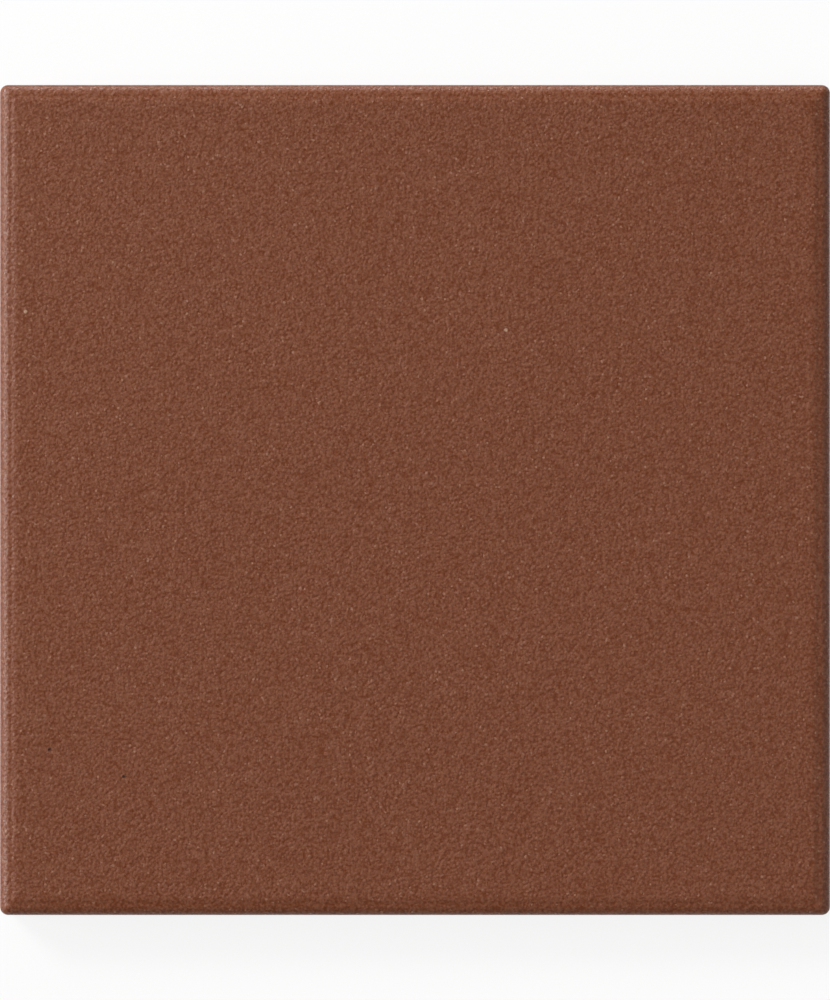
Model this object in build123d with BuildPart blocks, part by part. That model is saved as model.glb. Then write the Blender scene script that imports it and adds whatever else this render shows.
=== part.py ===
"""A square dry-pressed stoneware floor tile, lying on its back with the wearing face up.

The tile is one fired piece. Its face is a level field that stands a little proud of a narrow land,
which rounds over into the joint faces. The lower sides draw in towards the back, where a waffle of
drafted pockets keys into the bedding mortar. The origin is at the middle of the back, on the plane
of the ribs. Sizes are in millimetres.
"""

from build123d import *

import os
from math import radians, tan

# Overall size, measured over the joint faces and from the ribs to the field
SIDE = 150.0
THICKNESS = 11.0

# Rounded edge of the face, and the plan corners, which are always rounder than that edge
ARRIS_RADIUS = 1.5
CORNER_MARGIN = 0.1

# Raised field of the face: the flat land around it, its sloping shoulder and its rise above the land
LAND_WIDTH = 0.3
SHOULDER_WIDTH = 1.1
FIELD_RISE = 0.24
FIELD_CORNER_RADIUS = 0.6

# Lower sides: the height over which they draw in, by how much, and the chamfer around the back
TAPER_HEIGHT = 3.0
TAPER_INSET = 0.4
BACK_CHAMFER = 0.6

# Waffle on the back: a plain border, and square pockets with ribs between them
BORDER_WIDTH = 6.0
RIB_WIDTH = 3.0
POCKETS_PER_SIDE = 6
POCKET_DEPTH = 1.0
POCKET_DRAFT = 35.0
POCKET_FLOOR_CORNER_RADIUS = 1.2

# Sizes that follow from the ones above
CORNER_RADIUS = ARRIS_RADIUS + CORNER_MARGIN
LAND_LEVEL = THICKNESS - FIELD_RISE
TAPER_FOOT_SIDE = SIDE - 2 * TAPER_INSET
BACK_SIDE = TAPER_FOOT_SIDE - 2 * BACK_CHAMFER
FIELD_FOOT_SIDE = SIDE - 2 * (ARRIS_RADIUS + LAND_WIDTH)
FIELD_SIDE = FIELD_FOOT_SIDE - 2 * SHOULDER_WIDTH
POCKET_PITCH = (BACK_SIDE - 2 * BORDER_WIDTH + RIB_WIDTH) / POCKETS_PER_SIDE
POCKET_MOUTH = POCKET_PITCH - RIB_WIDTH
POCKET_MOUTH_CORNER_RADIUS = POCKET_FLOOR_CORNER_RADIUS + POCKET_DEPTH * tan(radians(POCKET_DRAFT))

# One pocket of the waffle, as the punch that presses it
with BuildPart() as pocket_punch:
    with BuildSketch(Plane.XY):
        RectangleRounded(POCKET_MOUTH, POCKET_MOUTH, POCKET_MOUTH_CORNER_RADIUS)
    extrude(amount=POCKET_DEPTH, taper=POCKET_DRAFT)

with BuildPart() as tile:
    # Lower sides, drawing in towards the back and chamfered around it
    with BuildSketch(Plane.XY):
        RectangleRounded(BACK_SIDE, BACK_SIDE, CORNER_RADIUS)
    with BuildSketch(Plane.XY.offset(BACK_CHAMFER)):
        RectangleRounded(TAPER_FOOT_SIDE, TAPER_FOOT_SIDE, CORNER_RADIUS)
    with BuildSketch(Plane.XY.offset(TAPER_HEIGHT)):
        RectangleRounded(SIDE, SIDE, CORNER_RADIUS)
    loft(ruled=True)

    # Upright joint faces, rounded over into the face
    with BuildSketch(Plane.XY.offset(TAPER_HEIGHT)):
        RectangleRounded(SIDE, SIDE, CORNER_RADIUS)
    extrude(amount=LAND_LEVEL - TAPER_HEIGHT)
    fillet(tile.faces().sort_by(Axis.Z)[-1].edges(), ARRIS_RADIUS)

    # Raised field of the face, with its shoulder
    with BuildSketch(Plane.XY.offset(LAND_LEVEL)):
        RectangleRounded(FIELD_FOOT_SIDE, FIELD_FOOT_SIDE, FIELD_CORNER_RADIUS)
    with BuildSketch(Plane.XY.offset(THICKNESS)):
        RectangleRounded(FIELD_SIDE, FIELD_SIDE, FIELD_CORNER_RADIUS)
    loft(ruled=True)

    # Waffle pressed into the back
    with GridLocations(POCKET_PITCH, POCKET_PITCH, POCKETS_PER_SIDE, POCKETS_PER_SIDE):
        add(pocket_punch.part, mode=Mode.SUBTRACT)

tile.part.label = "stoneware_tile"

os.makedirs("parts", exist_ok=True)
export_step(tile.part, "parts/stoneware_tile.step")
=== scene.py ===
# %% [markdown]
# # A stoneware tile
#
# This lesson dresses one square stoneware floor tile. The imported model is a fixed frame: it gives the
# tile's true size and place, in metres. It is loaded first, and its box is kept, because the finished
# tile has to stay inside that box.

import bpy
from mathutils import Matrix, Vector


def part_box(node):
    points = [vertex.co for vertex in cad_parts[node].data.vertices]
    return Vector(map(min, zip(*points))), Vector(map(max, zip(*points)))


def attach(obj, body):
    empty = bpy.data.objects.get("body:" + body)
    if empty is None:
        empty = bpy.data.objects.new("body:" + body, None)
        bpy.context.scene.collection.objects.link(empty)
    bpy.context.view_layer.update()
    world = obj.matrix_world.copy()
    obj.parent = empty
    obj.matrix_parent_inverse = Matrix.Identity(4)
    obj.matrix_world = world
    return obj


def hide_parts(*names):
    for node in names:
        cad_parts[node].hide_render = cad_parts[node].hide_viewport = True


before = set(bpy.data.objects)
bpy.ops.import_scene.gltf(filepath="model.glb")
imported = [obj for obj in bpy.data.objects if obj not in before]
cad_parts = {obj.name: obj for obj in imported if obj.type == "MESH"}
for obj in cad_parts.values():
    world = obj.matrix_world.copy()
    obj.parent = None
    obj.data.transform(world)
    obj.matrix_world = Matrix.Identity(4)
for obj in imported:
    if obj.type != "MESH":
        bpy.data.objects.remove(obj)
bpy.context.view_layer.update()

TILE_NODE = "stoneware_tile"
tile_low, tile_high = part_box(TILE_NODE)
SIDE = tile_high.x - tile_low.x
THICKNESS = tile_high.z - tile_low.z
print(f"The tile is {SIDE * 1000:.1f} mm square and {THICKNESS * 1000:.1f} mm thick.")

# %% [markdown]
# ## The edge of the face
#
# The tile was pressed from dry clay powder in a steel die. In section, its face is a level field that falls
# away by a soft shoulder, and then rounds over into the upright joint face. Masons call that rounding the
# arris. A bevel modifier could round an edge, but it couldn't make a shoulder with a long soft tail. So the
# section is the sum of two curves: a soft step for the shoulder, and part of an ellipse for the arris.
#
# The relief of the face will rise and fall by half its depth. So the mean level of the field lies that much
# below the top of the frame.

# %% Section of the edge
import math

import bpy
import numpy as np

MM = 0.001
ARRIS_WIDTH = 1.72 * MM
ARRIS_SPAN = 2.4 * MM
ARRIS_HEIGHT = 1.7 * MM
FIELD_RISE = 0.25 * MM
SHOULDER_FOOT = 2.0 * MM
SHOULDER_REACH = 0.28 * MM


def edge_fall(inset):
    """How far the face lies below its field, at a distance in from the joint face."""
    up = np.maximum(inset - SHOULDER_FOOT, 0) / SHOULDER_REACH
    inner = 1 - ARRIS_WIDTH / ARRIS_SPAN
    across = np.clip(1 - inset / ARRIS_SPAN, inner, 1)
    arris = ARRIS_HEIGHT * (math.sqrt(1 - inner**2) - np.sqrt(1 - across**2))
    return FIELD_RISE * (1 + up) * np.exp(-up) + arris


RELIEF_DEPTH = 0.045 * MM
FIELD_LEVEL = THICKNESS - RELIEF_DEPTH / 2
WIDEST_LEVEL = FIELD_LEVEL - edge_fall(0.0)
print(f"The edge falls by {edge_fall(0.0) / MM:.2f} mm, of which the shoulder is {FIELD_RISE / MM:.2f} mm.")

# %% [markdown]
# The clay goes into the die as small round granules, and the press squashes them into a shallow pebbled
# grain. Near the edge the die presses hardest and the grain is fainter. This share of the grain is noted on
# the points of the mesh and read later by the finish, so it has a function of its own.

# %% Share of the grain
RIM_SHARE = 0.80
GRAIN_START = 1.8 * MM
GRAIN_FULL = 4.0 * MM


def grain_share_at(inset):
    """How much of the grain shows, from the rim's share at the arris to 1 on the field."""
    way = np.clip((inset - GRAIN_START) / (GRAIN_FULL - GRAIN_START), 0, 1)
    return RIM_SHARE + (1 - RIM_SHARE) * way * way * (3 - 2 * way)


print(f"Three millimetres in, {grain_share_at(3 * MM):.0%} of the grain shows.")

# %% [markdown]
# ## Loops and sheets
#
# Every edge of the tile runs all the way round it as a rounded square. So the whole rim can be built as a
# stack of such loops, each with its own size, corner radius and height, joined by bands of four-sided
# faces. Loops that are joined have the same number of points, so that a band goes from point to point.

# %% A loop is a rounded square
def side_points(half, corner, steps, corner_steps):
    """Points along the front side, from the middle of one rounded corner to the middle of the next."""
    straight = half - corner
    turn = np.linspace(math.radians(45), 0, corner_steps + 1)[:-1]
    arc = np.column_stack([straight + corner * np.sin(turn), -straight - corner * np.cos(turn)])
    flat_x = np.linspace(-straight, straight, steps - 2 * corner_steps + 1)
    flat = np.column_stack([flat_x, np.full(len(flat_x), -half)])
    return np.concatenate([arc * (-1, 1), flat, arc[::-1]])


def loop_points(half, corner, steps, corner_steps):
    """All four sides, anticlockwise seen from above, starting in the left front corner."""
    side = side_points(half, corner, steps, corner_steps)[:-1]
    quarter_turn = np.array([[0, 1], [-1, 0]])
    turns = [np.linalg.matrix_power(quarter_turn, count) for count in range(4)]
    return np.concatenate([side @ turn for turn in turns])


print(f"Half a corner in two steps: {np.round(side_points(1, 0.5, 6, 2)[:3], 3).tolist()}")

# %% [markdown]
# A sheet is the flat inside of a loop, cut into small squares. Its outer points are those of the loop, and
# the inner ones are spread so that the rows bow out a little where the sides do. A short test shows that the
# rim of a sheet really lies on its loop, because otherwise the mesh would have gaps.

# %% A sheet fills a loop
def sheet_points(half, corner, steps, corner_steps):
    """A square array of points, row by row from the front, whose rim is the loop of the same sizes."""
    front = side_points(half, corner, steps, corner_steps)
    corner_gap = half + front[0, 0]
    bow = corner_gap - (half + front[:, 1])
    spread = np.linspace(-1, 1, steps + 1)
    x = front[:, 0][None, :] + spread[None, :] * bow[:, None]
    return np.stack([x, x.T], axis=-1)


def rim_of(sheet):
    """The rim of a square array, in the order of a loop."""
    return np.concatenate([sheet[0, :-1], sheet[:-1, -1], sheet[-1, :0:-1], sheet[:0:-1, 0]])


rim_error = np.abs(rim_of(sheet_points(1, 0.5, 8, 2)) - loop_points(1, 0.5, 8, 2)).max()
print(f"The rim of a sheet lies on its loop to {rim_error:.1e}.")

# %% [markdown]
# A bench that collects points and faces keeps the next cells short. It hands back the numbers of the points
# that it was given, and a band or a sheet of faces needs only such numbers. It also notes two shares for
# each point, which the finish reads later: how much of the grain shows there, and how much of the marks
# that the die leaves on the sides.

# %% The bench that collects the mesh
points = []
grain_shares = []
drag_shares = []
faces = []


def add_points(flat, height, grain_share, drag_share=0.0):
    """Adds points at a height, with their shares of the grain and the drag, and returns their numbers."""
    first = len(points)
    places = flat.reshape(-1, 2)
    points.extend(np.column_stack([places, np.broadcast_to(height, len(places))]).tolist())
    grain_shares.extend(np.broadcast_to(grain_share, len(places)).tolist())
    drag_shares.extend(np.broadcast_to(drag_share, len(places)).tolist())
    return np.arange(first, len(points)).reshape(flat.shape[:-1])


def add_band(before, after):
    """Joins two loops, of which the second lies further from the middle of the face."""
    faces.extend(np.column_stack([before, after, np.roll(after, -1), np.roll(before, -1)]).tolist())


def add_sheet(numbers, looks_up):
    """Fills a square array of points with squares that look up or down."""
    corners = [numbers[:-1, :-1], numbers[:-1, 1:], numbers[1:, 1:], numbers[1:, :-1]]
    around = corners if looks_up else corners[::-1]
    faces.extend(np.stack(around, axis=-1).reshape(-1, 4).tolist())


print(f"The bench holds {len(points)} points and {len(faces)} faces so far.")

# %% [markdown]
# ## The face
#
# The broad part of the pressed grain is real relief here, from noise of two sizes. Its highest pebbles just
# reach the top of the frame, so the tile keeps its size, and near the rim it fades out. The finer part would
# need millions of points, and it is left to the finish.

# %% Lay out the face
from mathutils import Vector, noise

FACE_INSET = 3.6 * MM
FACE_CORNER = 0.6 * MM
FACE_STEPS = 256
CORNER_STEPS = 5
RELIEF_SIZES = ((1.4 * MM, 0.85), (3.0 * MM, 0.15))
RELIEF_FADE = 1.2 * MM


def relief_at(x, y):
    """Height of the pressed grain above the level of the field, from -0.5 to 0.5."""
    height = 0.0
    for size, share in RELIEF_SIZES:
        height += share * noise.noise(Vector((x / size, y / size, share)))
    return min(max(height, -0.5), 0.5)


face_flat = sheet_points(SIDE / 2 - FACE_INSET, FACE_CORNER, FACE_STEPS, CORNER_STEPS)
face_insets = SIDE / 2 - np.abs(face_flat).max(axis=-1).ravel()
relief_fade = np.clip((face_insets - FACE_INSET) / RELIEF_FADE, 0, 1)
relief = np.array([relief_at(x, y) for x, y in face_flat.reshape(-1, 2)]) * RELIEF_DEPTH
face_heights = FIELD_LEVEL - edge_fall(face_insets) + relief * relief_fade

face_numbers = add_points(face_flat, face_heights, grain_share_at(face_insets))
add_sheet(face_numbers, looks_up=True)
print(f"The face has {FACE_STEPS**2} squares, {2 * (SIDE / 2 - FACE_INSET) / FACE_STEPS / MM:.2f} mm wide.")

# %% [markdown]
# ## The rim
#
# From the face outwards and down, each step of the rim is one loop. The shoulder takes seven loops, and the
# arris eight, closer together where it is steep. Below it the joint face is upright, and then draws in a
# little towards the back, so that the tile leaves the die easily. Two loops near that bend keep it soft but
# narrow.

# %% Loops of the rim
CORNER_RADIUS = 1.5 * MM
TAPER_HEIGHT = 3.0 * MM
TAPER_INSET = 0.4 * MM
BACK_CHAMFER = 0.6 * MM
BEND = 0.4 * MM
SIDE_SHARE = 0.4

shoulder_insets = np.linspace(FACE_INSET, ARRIS_WIDTH, 8)[1:]
leans = np.linspace(math.asin(1 - ARRIS_WIDTH / ARRIS_SPAN), math.radians(90), 9)
arris_insets = ARRIS_SPAN * (1 - np.sin(leans[1:]))
rim_insets = [*shoulder_insets, *arris_insets]
bend_inset = TAPER_INSET * BEND / (TAPER_HEIGHT - BACK_CHAMFER)
side_loops = [
    (0.0, WIDEST_LEVEL - BEND),
    (0.0, TAPER_HEIGHT + BEND),
    (bend_inset, TAPER_HEIGHT - BEND),
    (TAPER_INSET, BACK_CHAMFER),
    (TAPER_INSET + BACK_CHAMFER, 0.0),
]

last_loop = rim_of(face_numbers)
for inset in rim_insets:
    corner = max(CORNER_RADIUS - inset, FACE_CORNER)
    flat = loop_points(SIDE / 2 - inset, corner, FACE_STEPS, CORNER_STEPS)
    loop = add_points(flat, FIELD_LEVEL - edge_fall(inset), grain_share_at(inset))
    add_band(last_loop, loop)
    last_loop = loop
for inset, height in side_loops:
    flat = loop_points(SIDE / 2 - inset, CORNER_RADIUS, FACE_STEPS, CORNER_STEPS)
    loop = add_points(flat, height, SIDE_SHARE, drag_share=1.0)
    add_band(last_loop, loop)
    last_loop = loop
back_outline = last_loop
print(f"The rim has {len(rim_insets) + len(side_loops)} loops of {len(back_outline)} points.")

# %% [markdown]
# ## The back
#
# The back lies in mortar, and a plain back would come loose. So the die presses a waffle into it: square
# pockets with sloping walls, and ribs between them. Cutting the pockets out with a boolean would leave long
# thin triangles. Here every pocket is a patch of its own that shares its square edge with its neighbours.
# From that edge, loops run over a soft lip and down the wall to a sheet on the pocket's floor.

# %% Sizes of the waffle
BORDER_WIDTH = 6.0 * MM
RIB_WIDTH = 3.0 * MM
POCKETS_PER_SIDE = 6
POCKET_DEPTH = 1.0 * MM
POCKET_DRAFT = math.radians(35)
POCKET_FLOOR_CORNER = 1.2 * MM
LIP = 0.15 * MM
PATCH_STEPS = 8
PATCH_CORNER_STEPS = 2
BACK_SHARE = 0.8

back_half = SIDE / 2 - TAPER_INSET - BACK_CHAMFER
pitch = (2 * back_half - 2 * BORDER_WIDTH + RIB_WIDTH) / POCKETS_PER_SIDE
waffle_half = pitch * POCKETS_PER_SIDE / 2
floor_half = (pitch - RIB_WIDTH) / 2 - POCKET_DEPTH * math.tan(POCKET_DRAFT)
print(f"A pocket is {(pitch - RIB_WIDTH) / MM:.1f} mm wide, and its floor {2 * floor_half / MM:.1f} mm.")

# %% [markdown]
# Neighbouring patches have to meet in the same points, or the mesh would have slits. So the points on the
# patches' edges, along the middles of the ribs, are added once, and each is kept under its column and row.

# %% Edges that the patches share
edge_numbers = {}
lattice_steps = POCKETS_PER_SIDE * PATCH_STEPS
for column in range(lattice_steps + 1):
    for row in range(lattice_steps + 1):
        if column % PATCH_STEPS == 0 or row % PATCH_STEPS == 0:
            place = np.array([[column, row]]) * pitch / PATCH_STEPS - waffle_half
            edge_numbers[column, row] = int(add_points(place, 0.0, BACK_SHARE)[0])


def square_edge(column, row, steps):
    """Numbers of the shared points around a square, in the order of a loop."""
    front = [(column + step, row) for step in range(steps)]
    right = [(column + steps, row + step) for step in range(steps)]
    rear = [(column + steps - step, row + steps) for step in range(steps)]
    left = [(column, row + steps - step) for step in range(steps)]
    return np.array([edge_numbers[key] for key in front + right + rear + left])


print(f"The waffle shares {len(edge_numbers)} points between its patches.")

# %% [markdown]
# A pocket is then a short stack of loops, like the rim, that ends in a sheet. The list gives each loop's
# height above the back, and how far it lies outside the pocket's floor.

# %% Press the pockets
wall_slope = math.tan(POCKET_DRAFT)
pocket_loops = [
    (0.0, POCKET_DEPTH * wall_slope + LIP),
    (LIP / 3, POCKET_DEPTH * wall_slope + LIP / 4),
    (LIP, (POCKET_DEPTH - LIP) * wall_slope),
    (POCKET_DEPTH - LIP, LIP * wall_slope),
    (POCKET_DEPTH - LIP / 3, -LIP / 4),
]
patch = (PATCH_STEPS, PATCH_CORNER_STEPS)
for pocket_column in range(POCKETS_PER_SIDE):
    for pocket_row in range(POCKETS_PER_SIDE):
        middle = (np.array([pocket_column, pocket_row]) + 0.5) * pitch - waffle_half
        last_loop = square_edge(pocket_column * PATCH_STEPS, pocket_row * PATCH_STEPS, PATCH_STEPS)
        for height, outside in pocket_loops:
            flat = loop_points(floor_half + outside, POCKET_FLOOR_CORNER + outside, *patch)
            loop = add_points(flat + middle, height, BACK_SHARE)
            add_band(last_loop, loop)
            last_loop = loop
        floor_flat = sheet_points(floor_half - LIP, POCKET_FLOOR_CORNER - LIP, *patch)
        floor_numbers = add_points(floor_flat + middle, POCKET_DEPTH, BACK_SHARE)
        add_band(last_loop, rim_of(floor_numbers))
        add_sheet(floor_numbers, looks_up=False)
print(f"The waffle has {POCKETS_PER_SIDE**2} pockets.")

# %% [markdown]
# The border of the back joins the outline of the tile, which has many points, to the edge of the waffle,
# which has few. A band can't join those, so this strip is laced like a shoe: of the two loops, the one that
# lags behind along the side takes the next step, and each step makes one triangle.

# %% Lace the border
def way_round(numbers):
    """How far along the loop each point lies, counted in sides, with the first point again at the end."""
    x, y = np.array([points[number][:2] for number in numbers]).T
    half = np.abs(x).max()
    side = np.arange(len(numbers)) * 4 // len(numbers)
    along = np.choose(side, [x, y, -x, -y])
    return np.append(side + (along / half + 1) / 2, 4.0)


def lace(before, after):
    """Joins two loops with different numbers of points by a strip of triangles."""
    way_before, way_after = way_round(before), way_round(after)
    step_before = step_after = 0
    while step_before < len(before) or step_after < len(after):
        here = (before[step_before % len(before)], after[step_after % len(after)])
        after_lags = step_after < len(after) and (
            step_before == len(before) or way_after[step_after + 1] <= way_before[step_before + 1]
        )
        if after_lags:
            step_after += 1
            faces.append([*here, after[step_after % len(after)]])
        else:
            step_before += 1
            faces.append([*here, before[step_before % len(before)]])


faces_before = len(faces)
lace(back_outline, square_edge(0, 0, lattice_steps))
print(f"The border is laced with {len(faces) - faces_before} triangles.")

# %% [markdown]
# ## One piece
#
# A fired tile is one piece, so all points go into one mesh. It has to be closed, with two faces at every
# edge, and a short test shows that. Smooth shading suits the rounded forms, while an edge that turns
# sharply, as around the back, keeps its line.

# %% Make the tile
import bmesh

SHARP_TURN = math.radians(28)

tile_mesh = bpy.data.meshes.new("pressed_tile")
tile_mesh.from_pydata(points, [], faces)
tile_mesh.shade_smooth()
tile_mesh.set_sharp_from_angle(angle=SHARP_TURN)
for layer_name, shares in (("grain_share", grain_shares), ("drag_share", drag_shares)):
    layer = tile_mesh.attributes.new(layer_name, "FLOAT", "POINT")
    layer.data.foreach_set("value", shares)

tile = bpy.data.objects.new("pressed_tile", tile_mesh)
bpy.context.scene.collection.objects.link(tile)
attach(tile, "root")
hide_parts(TILE_NODE)

tested = bmesh.new()
tested.from_mesh(tile_mesh)
open_edges = sum(not edge.is_manifold for edge in tested.edges)
triangles = sum(len(face.verts) - 2 for face in tested.faces)
print(f"{triangles} triangles, {open_edges} open edges, {tested.calc_volume() / MM**3:.0f} mm3.")
tested.free()

# %% [markdown]
# ## Stoneware
#
# The body of the tile is red-burning clay, fired until it is dense, with no glaze. One plain brown would
# look like plastic, so the finish is built up from nodes. Most nodes are placed in the same few steps, so a
# helper does them: it makes a node, applies its settings, and fills its inputs with numbers or links.

# %% A helper that places nodes
def place_node(tree, kind, inputs=None, **settings):
    """Adds a node with its settings, and fills its inputs from numbers or from other nodes' outputs."""
    made = tree.nodes.new(kind)
    for name, value in settings.items():
        setattr(made, name, value)
    sockets = {socket.name: socket for socket in made.inputs if socket.enabled}
    for name, value in (inputs or {}).items():
        socket = made.inputs[name] if isinstance(name, int) else sockets[name]
        if isinstance(value, bpy.types.NodeSocket):
            tree.links.new(value, socket)
        else:
            socket.default_value = value
    return made


def result_of(made):
    """The first output of a node that is in use with its settings."""
    return next(socket for socket in made.outputs if socket.enabled)


print(f"The helpers {place_node.__name__} and {result_of.__name__} are ready.")

# %% [markdown]
# A new material comes with one shader, and that is kept. Short helpers of its own let the next cells read
# like a recipe. All patterns are laid out in millimetres of the tile's own space, not on a flat picture, so
# they run around the edges without a seam. The two shares that the bench noted come in as attributes.

# %% Start the stoneware
stoneware = bpy.data.materials.new("stoneware")
stoneware.use_nodes = True
clay = stoneware.node_tree
shader = clay.nodes["Principled BSDF"]


def clay_node(kind, inputs=None, **settings):
    """A node of the stoneware."""
    return place_node(clay, kind, inputs, **settings)


def clay_math(operation, first, second):
    """Two values added, multiplied or compared."""
    return clay_node("ShaderNodeMath", {0: first, 1: second}, operation=operation).outputs[0]


def clay_ramp(value, low, high):
    """0 at low, 1 at high, and smooth between."""
    inputs = {"Value": value, "From Min": low, "From Max": high}
    return clay_node("ShaderNodeMapRange", inputs, interpolation_type="SMOOTHSTEP").outputs["Result"]


def clay_mix(share, first, second):
    """The first colour at share 0, the second at share 1."""
    inputs = {"Factor": share, "A": first, "B": second}
    return result_of(clay_node("ShaderNodeMix", inputs, data_type="RGBA"))


def clay_noise(where, scale, detail, roughness=0.5):
    """Soft noise around 0.5."""
    inputs = {"Vector": where, "Scale": scale, "Detail": detail, "Roughness": roughness}
    return clay_node("ShaderNodeTexNoise", inputs).outputs["Fac"]


own_space = clay_node("ShaderNodeTexCoord").outputs["Object"]
mm_scale = {"Vector": own_space, "Scale": (1 / MM, 1 / MM, 1 / MM)}
in_mm = clay_node("ShaderNodeMapping", mm_scale).outputs["Vector"]
grain_share = clay_node("ShaderNodeAttribute", attribute_name="grain_share").outputs["Fac"]
drag_share = clay_node("ShaderNodeAttribute", attribute_name="drag_share").outputs["Fac"]
print(f"The stoneware starts with {len(clay.nodes)} nodes.")

# %% [markdown]
# The fine pebbles are about half a millimetre wide. Noise alone would look like leather, and domes alone like
# cobbles. So their height comes from both: soft noise, less the distance from the middle of the nearest cell
# of a Voronoi texture, which makes a dome of each cell.

# %% Height of the pebbles
PEBBLE_SCALE = 1.75
DOME_SHARE = 0.35
NOISE_SHARE = 0.5

domes = clay_node("ShaderNodeTexVoronoi", {"Vector": in_mm, "Scale": PEBBLE_SCALE}, feature="F1")
domes = clay_math("MULTIPLY", domes.outputs["Distance"], DOME_SHARE)
soft_noise = clay_noise(in_mm, PEBBLE_SCALE, detail=1.0, roughness=0.4)
pebbles = clay_math("MULTIPLY", soft_noise, NOISE_SHARE)
pebbles = clay_math("SUBTRACT", pebbles, domes)
print(f"A pebble is about {1 / PEBBLE_SCALE:.2f} mm wide.")

# %% [markdown]
# The colour is mixed in layers, from broad to fine: a slow drift of two browns over the whole tile, a
# slightly darker or lighter shade for each granule, painted shade in the hollows between the pebbles and
# painted light on their tops, and a pale fleck of feldspar here and there. A second Voronoi texture stands
# for the granules, because it gives each of them its own random numbers.

# %% Colours of the clay
CLAY_BROWN = (0.184, 0.0540, 0.0213, 1)
CLAY_PALE = (0.202, 0.0616, 0.0253, 1)
# The two granule colours also carry painted shade in the hollows and painted light on the pebbles' tops.
GRANULE_DARK_AND_PAINTED_SHADE = (0.126, 0.0230, 0.0020, 1)
GRANULE_PALE_AND_PAINTED_LIGHT = (0.244, 0.0920, 0.0490, 1)
FLECK_PALE = (0.31, 0.145, 0.09, 1)
DRIFT_SCALE = 0.03
GRANULE_SCALE = 3.0
GRANULE_SHARE = 0.62
HOLLOW_SHADE = 0.60
LOW_PEBBLE = -0.13
HIGH_PEBBLE = 0.27
FLECK_START = 0.975

body_colour = clay_mix(clay_noise(in_mm, DRIFT_SCALE, detail=2.0), CLAY_BROWN, CLAY_PALE)
granules = clay_node("ShaderNodeTexVoronoi", {"Vector": in_mm, "Scale": GRANULE_SCALE}, feature="F1")
chances = clay_node("ShaderNodeSeparateColor", {"Color": granules.outputs["Color"]}).outputs
# Painted shade and light: the colour is darker where the pebbles are low and lighter where they are high.
painted_shade_range = {"Value": pebbles, "From Min": LOW_PEBBLE, "From Max": HIGH_PEBBLE}
painted_shade_range.update({"To Min": -HOLLOW_SHADE, "To Max": HOLLOW_SHADE})
painted_hollow_shade = clay_node("ShaderNodeMapRange", painted_shade_range).outputs["Result"]
shade = clay_math("ADD", chances["Red"], painted_hollow_shade)
granule_and_painted_shade_colour = clay_mix(shade, GRANULE_DARK_AND_PAINTED_SHADE, GRANULE_PALE_AND_PAINTED_LIGHT)
body_colour = clay_mix(GRANULE_SHARE, body_colour, granule_and_painted_shade_colour)
body_colour = clay_mix(clay_ramp(chances["Green"], FLECK_START, 1.0), body_colour, FLECK_PALE)
print(f"A granule is about {1 / GRANULE_SCALE:.2f} mm wide, and the clay has {len(clay.nodes)} nodes so far.")

# %% [markdown]
# Two pale specks and two small pits stand out on this tile by themselves. The pits are painted shade:
# dark spots that stand for the shade inside them. They are placed one by one, each as a small spot around
# a point of the face.

# %% Marks of this tile
PALE_SPECKS = ((16.4, 30.7), (-70.3, 34.0))
PIT_SHADE_SPOTS = ((-52.6, -49.9), (-66.0, -45.0))
SPECK_COLOUR = (0.46, 0.28, 0.19, 1)
SPECK_RADIUS = 0.45
# The pits are flat here, so their dark colour is painted shade.
PIT_SHADE_COLOUR = (0.03, 0.012, 0.007, 1)
PIT_RADIUS = 0.40


def spots_at(marks, radius):
    """1 at the marks, 0 away from them."""
    spots = []
    for x, y in marks:
        mark = (x, y, THICKNESS / MM)
        gap = clay_node("ShaderNodeVectorMath", {0: in_mm, 1: mark}, operation="DISTANCE")
        spots.append(clay_ramp(gap.outputs["Value"], radius, radius / 3))
    return clay_math("MAXIMUM", *spots)


body_colour = clay_mix(spots_at(PALE_SPECKS, SPECK_RADIUS), body_colour, SPECK_COLOUR)
# Painted shade: dark spots for the shade inside two small pits.
body_colour = clay_mix(spots_at(PIT_SHADE_SPOTS, PIT_RADIUS), body_colour, PIT_SHADE_COLOUR)
print(f"The face has {len(PALE_SPECKS)} pale specks and {len(PIT_SHADE_SPOTS)} dark pits.")

# %% [markdown]
# The pebbles are fainter near the rim, so their height is multiplied by the share of the grain. The tile also
# slid along the walls of the die when it was pushed out, and this left upright streaks on its sides. They
# come from noise that is stretched along Z. Both are heights, so one bump node can turn their sum into a
# slope of the surface.

# %% Grain of the clay
GRAIN_HEIGHT = 0.19 * MM
DRAG_SHARE = 0.18
STREAK_SCALE = (2.2, 2.2, 0.12)

along_die = clay_node("ShaderNodeMapping", {"Vector": in_mm, "Scale": STREAK_SCALE}).outputs["Vector"]
streaks = clay_math("MULTIPLY", clay_noise(along_die, 1.0, detail=1.0), drag_share)
streaks = clay_math("MULTIPLY", streaks, DRAG_SHARE)
height = clay_math("ADD", clay_math("MULTIPLY", pebbles, grain_share), streaks)
bump = clay_node("ShaderNodeBump", {"Height": height, "Strength": 1.0, "Distance": GRAIN_HEIGHT})
clay.links.new(bump.outputs["Normal"], shader.inputs["Normal"])
print(f"The clay has {len(clay.nodes)} nodes with its grain.")

# %% [markdown]
# Dense stoneware has a dull sheen, a little different on each granule, and brighter on the arris, which the
# die has polished. It is duller on the streaked sides, and on the back, where a trace of pale kiln wash
# sticks to the ribs that stood on the rollers.

# %% Sheen of the clay
SHEEN = 0.41
RIM_ROUGHNESS = 0.26
FACE_ROUGHNESS = 0.35
GRANULE_ROUGHNESS = 0.30
DULL_ROUGHNESS = 0.15
WASH_COLOUR = (0.40, 0.25, 0.18, 1)
WASH_SCALE = 0.35
WASH_SHARE = 0.5

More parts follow.
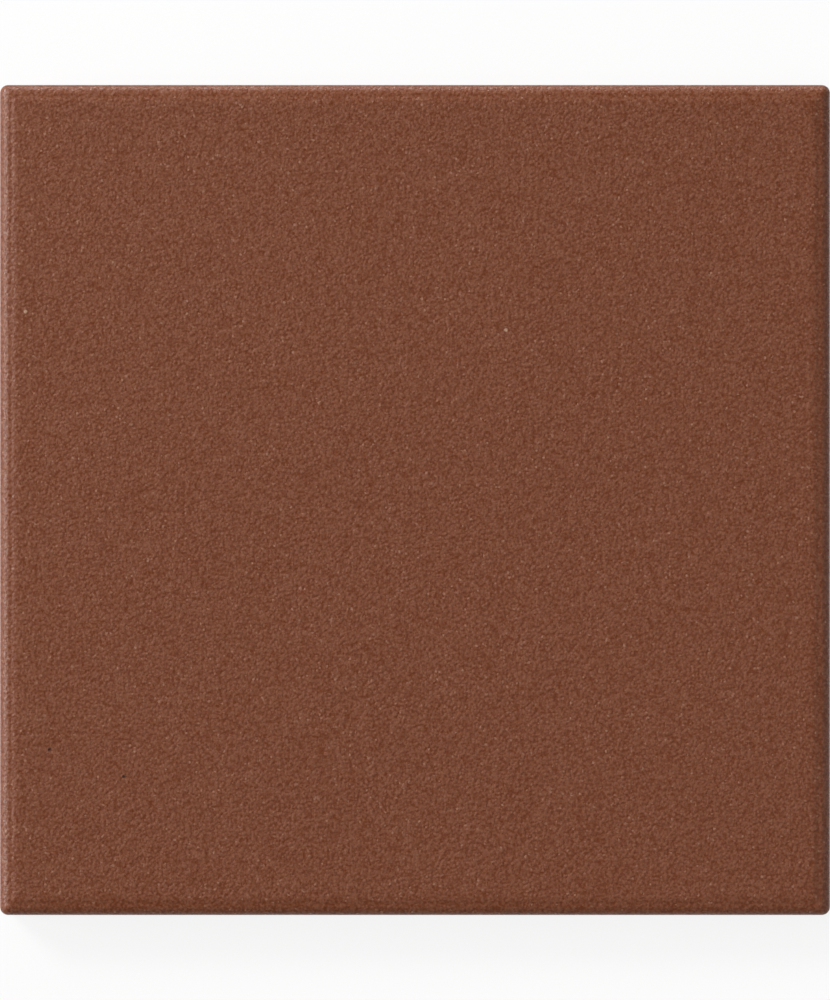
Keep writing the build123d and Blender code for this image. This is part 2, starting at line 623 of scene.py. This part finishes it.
along_z = clay_node("ShaderNodeSeparateXYZ", {"Vector": in_mm}).outputs["Z"]
wash_patches = clay_ramp(clay_noise(in_mm, WASH_SCALE, detail=3.0), 0.42, 0.72)
wash = clay_math("MULTIPLY", clay_ramp(along_z, 0.25, 0.02), wash_patches)
body_colour = clay_mix(clay_math("MULTIPLY", wash, WASH_SHARE), body_colour, WASH_COLOUR)
clay.links.new(body_colour, shader.inputs["Base Color"])

gloss = {"Value": grain_share, "From Min": RIM_SHARE, "To Min": RIM_ROUGHNESS, "To Max": FACE_ROUGHNESS}
roughness = clay_node("ShaderNodeMapRange", gloss).outputs["Result"]
roughness = clay_math("ADD", roughness, clay_math("MULTIPLY", chances["Blue"], GRANULE_ROUGHNESS))
dull = clay_math("MAXIMUM", drag_share, wash)
roughness = clay_math("ADD", roughness, clay_math("MULTIPLY", dull, DULL_ROUGHNESS))
clay.links.new(roughness, shader.inputs["Roughness"])
shader.inputs["Specular IOR Level"].default_value = SHEEN
tile_mesh.materials.append(stoneware)
print(f"The stoneware is done, with {len(clay.nodes)} nodes.")

# %% [markdown]
# ## Camera
#
# The picture looks straight down on the face, with the tile as wide as the picture. A camera could be
# moved about by eye until that fits. Here the distance is worked out instead: the lens and the sensor give
# the width that a camera sees at each metre, and the tile's widest level has to fill that width. A long lens
# keeps the four edges alike, as in a catalogue picture.

# %% Look straight down
PICTURE_WIDTH, PICTURE_HEIGHT = 830, 1000
LENS = 300.0
SENSOR = 36.0

camera_data = bpy.data.cameras.new("camera")
camera_data.lens = LENS
camera_data.sensor_width = SENSOR
camera = bpy.data.objects.new("camera", camera_data)
bpy.context.scene.collection.objects.link(camera)
bpy.context.scene.camera = camera

# The sensor's width lies along the longer side of the picture, which is its height
seen_height = SIDE * PICTURE_HEIGHT / PICTURE_WIDTH
camera_distance = seen_height * LENS / SENSOR
camera.location = (0, 0, WIDEST_LEVEL + camera_distance)
print(f"The camera stands {camera_distance:.3f} m above the tile's edge.")

# %% [markdown]
# ## Light
#
# Two soft lamps stand far off, one to the upper left and one to the left. They are low enough to rake across
# the face, because raking light is what makes a fine grain show. A small lamp close by makes the upper left
# corner a little brighter than the others. A weak lamp on the right opens the shadows of the far edges, and a
# very low one at the top draws a bright line along the top edge.
#
# A lamp's power is worked out from its share of the light on the face. The shares of the lamps and of the
# room together make about 1, so a colour renders about as written.

# %% Lamps
def add_lamp(name, turn, rise, distance, size, share):
    """A square lamp aimed at the face. Its turn is counted from the right, and its rise from the floor."""
    turn, rise = math.radians(turn), math.radians(rise)
    lamp_data = bpy.data.lights.new(name, "AREA")
    lamp_data.size = size
    lamp_data.energy = share * math.pi**2 * distance**2 / math.sin(rise)
    lamp = bpy.data.objects.new(name, lamp_data)
    away = Vector((math.cos(rise) * math.cos(turn), math.cos(rise) * math.sin(turn), math.sin(rise)))
    lamp.location = Vector((0, 0, THICKNESS)) + away * distance
    lamp.rotation_euler = away.to_track_quat("Z", "Y").to_euler()
    bpy.context.scene.collection.objects.link(lamp)
    print(f"The {name} has {lamp_data.energy:.1f} W.")


add_lamp("main_lamp", turn=140, rise=33, distance=4.5, size=1.2, share=0.31)
add_lamp("side_lamp", turn=178, rise=31, distance=4.0, size=1.8, share=0.255)
add_lamp("near_lamp", turn=150, rise=40, distance=0.5, size=0.25, share=0.09)
add_lamp("fill_lamp", turn=338, rise=35, distance=0.5, size=0.6, share=0.08)
add_lamp("top_lamp", turn=95, rise=9, distance=0.8, size=0.2, share=0.035)

# %% [markdown]
# The rest of the light, about a fifth, comes from the room. Its walls are pale, and palest on the side of the
# lamps. Its ceiling is dark, as in a studio where nothing above the camera may shine back from the face. So
# the strength of the world depends on the direction that it is seen in: it fades from the lamps' side to the
# far side, and from the walls up to the ceiling.

# %% Room
NEAR_GLOW = 0.85
FAR_GLOW = 0.25
CEILING_GLOW = 0.04
LAMPS_TURN = math.radians(110)

world = bpy.data.worlds.new("room")
world.use_nodes = True
room = world.node_tree
direction = place_node(room, "ShaderNodeTexCoord").outputs["Generated"]
upward = place_node(room, "ShaderNodeSeparateXYZ", {"Vector": direction}).outputs["Z"]
lamps_side = {0: direction, 1: (math.cos(LAMPS_TURN), math.sin(LAMPS_TURN), 0)}
sideward = place_node(room, "ShaderNodeVectorMath", lamps_side, operation="DOT_PRODUCT").outputs["Value"]
wall_range = {"Value": sideward, "From Min": -1.0, "To Min": FAR_GLOW, "To Max": NEAR_GLOW}
wall_glow = place_node(room, "ShaderNodeMapRange", wall_range).outputs["Result"]
glow_range = {"Value": upward, "To Min": wall_glow, "To Max": CEILING_GLOW}
room_glow = place_node(room, "ShaderNodeMapRange", glow_range).outputs["Result"]
room.links.new(room_glow, room.nodes["Background"].inputs["Strength"])
room.nodes["Background"].inputs["Color"].default_value = (1, 1, 1, 1)
bpy.context.scene.world = world
bpy.context.scene.view_settings.view_transform = "Standard"
print(f"The room's share of the light is {(NEAR_GLOW + FAR_GLOW) / 6 + CEILING_GLOW * 2 / 3:.2f}.")

# %% [markdown]
# ## Floor
#
# The tile lies on a plain white floor. One square is enough, if it reaches past everything that the camera
# can see. The floor belongs to the picture and not to the tile.

# %% Lay the floor
FLOOR_HALF = 6.0

floor_mesh = bpy.data.meshes.new("floor")
floor_corners = [(-1, -1), (1, -1), (1, 1), (-1, 1)]
floor_mesh.from_pydata([(x * FLOOR_HALF, y * FLOOR_HALF, 0) for x, y in floor_corners], [], [(0, 1, 2, 3)])
floor = bpy.data.objects.new("floor", floor_mesh)
bpy.context.scene.collection.objects.link(floor)
print(f"The floor is {2 * FLOOR_HALF:.0f} m wide.")

# %% [markdown]
# Lit by these lamps alone, a white floor renders as a pale grey. So to the camera, and to mirror-like and
# clear surfaces, most of it is a white glow of strength 1, and the rest is ordinary white paint that takes
# the tile's shadow. To all other light the floor is only paint.

# %% Paint the floor
FLOOR_GLOW = 0.85
FLOOR_WHITE = (0.95, 0.95, 0.95, 1)

floor_paint = bpy.data.materials.new("floor_paint")
floor_paint.use_nodes = True
paint = floor_paint.node_tree
paint.nodes.clear()
ray = place_node(paint, "ShaderNodeLightPath").outputs
seen = ray["Is Camera Ray"]
for kind in ("Is Glossy Ray", "Is Transmission Ray"):
    seen = place_node(paint, "ShaderNodeMath", {0: seen, 1: ray[kind]}, operation="MAXIMUM").outputs[0]
glow_share = place_node(paint, "ShaderNodeMath", {0: seen, 1: FLOOR_GLOW}, operation="MULTIPLY").outputs[0]
matt_white = place_node(paint, "ShaderNodeBsdfDiffuse", {"Color": FLOOR_WHITE}).outputs[0]
white_glow = place_node(paint, "ShaderNodeEmission", {"Color": (1, 1, 1, 1), "Strength": 1.0}).outputs[0]
both = place_node(paint, "ShaderNodeMixShader", {0: glow_share, 1: matt_white, 2: white_glow}).outputs[0]
place_node(paint, "ShaderNodeOutputMaterial", {"Surface": both})
floor_mesh.materials.append(floor_paint)
print(f"The floor's paint has {len(paint.nodes)} nodes.")
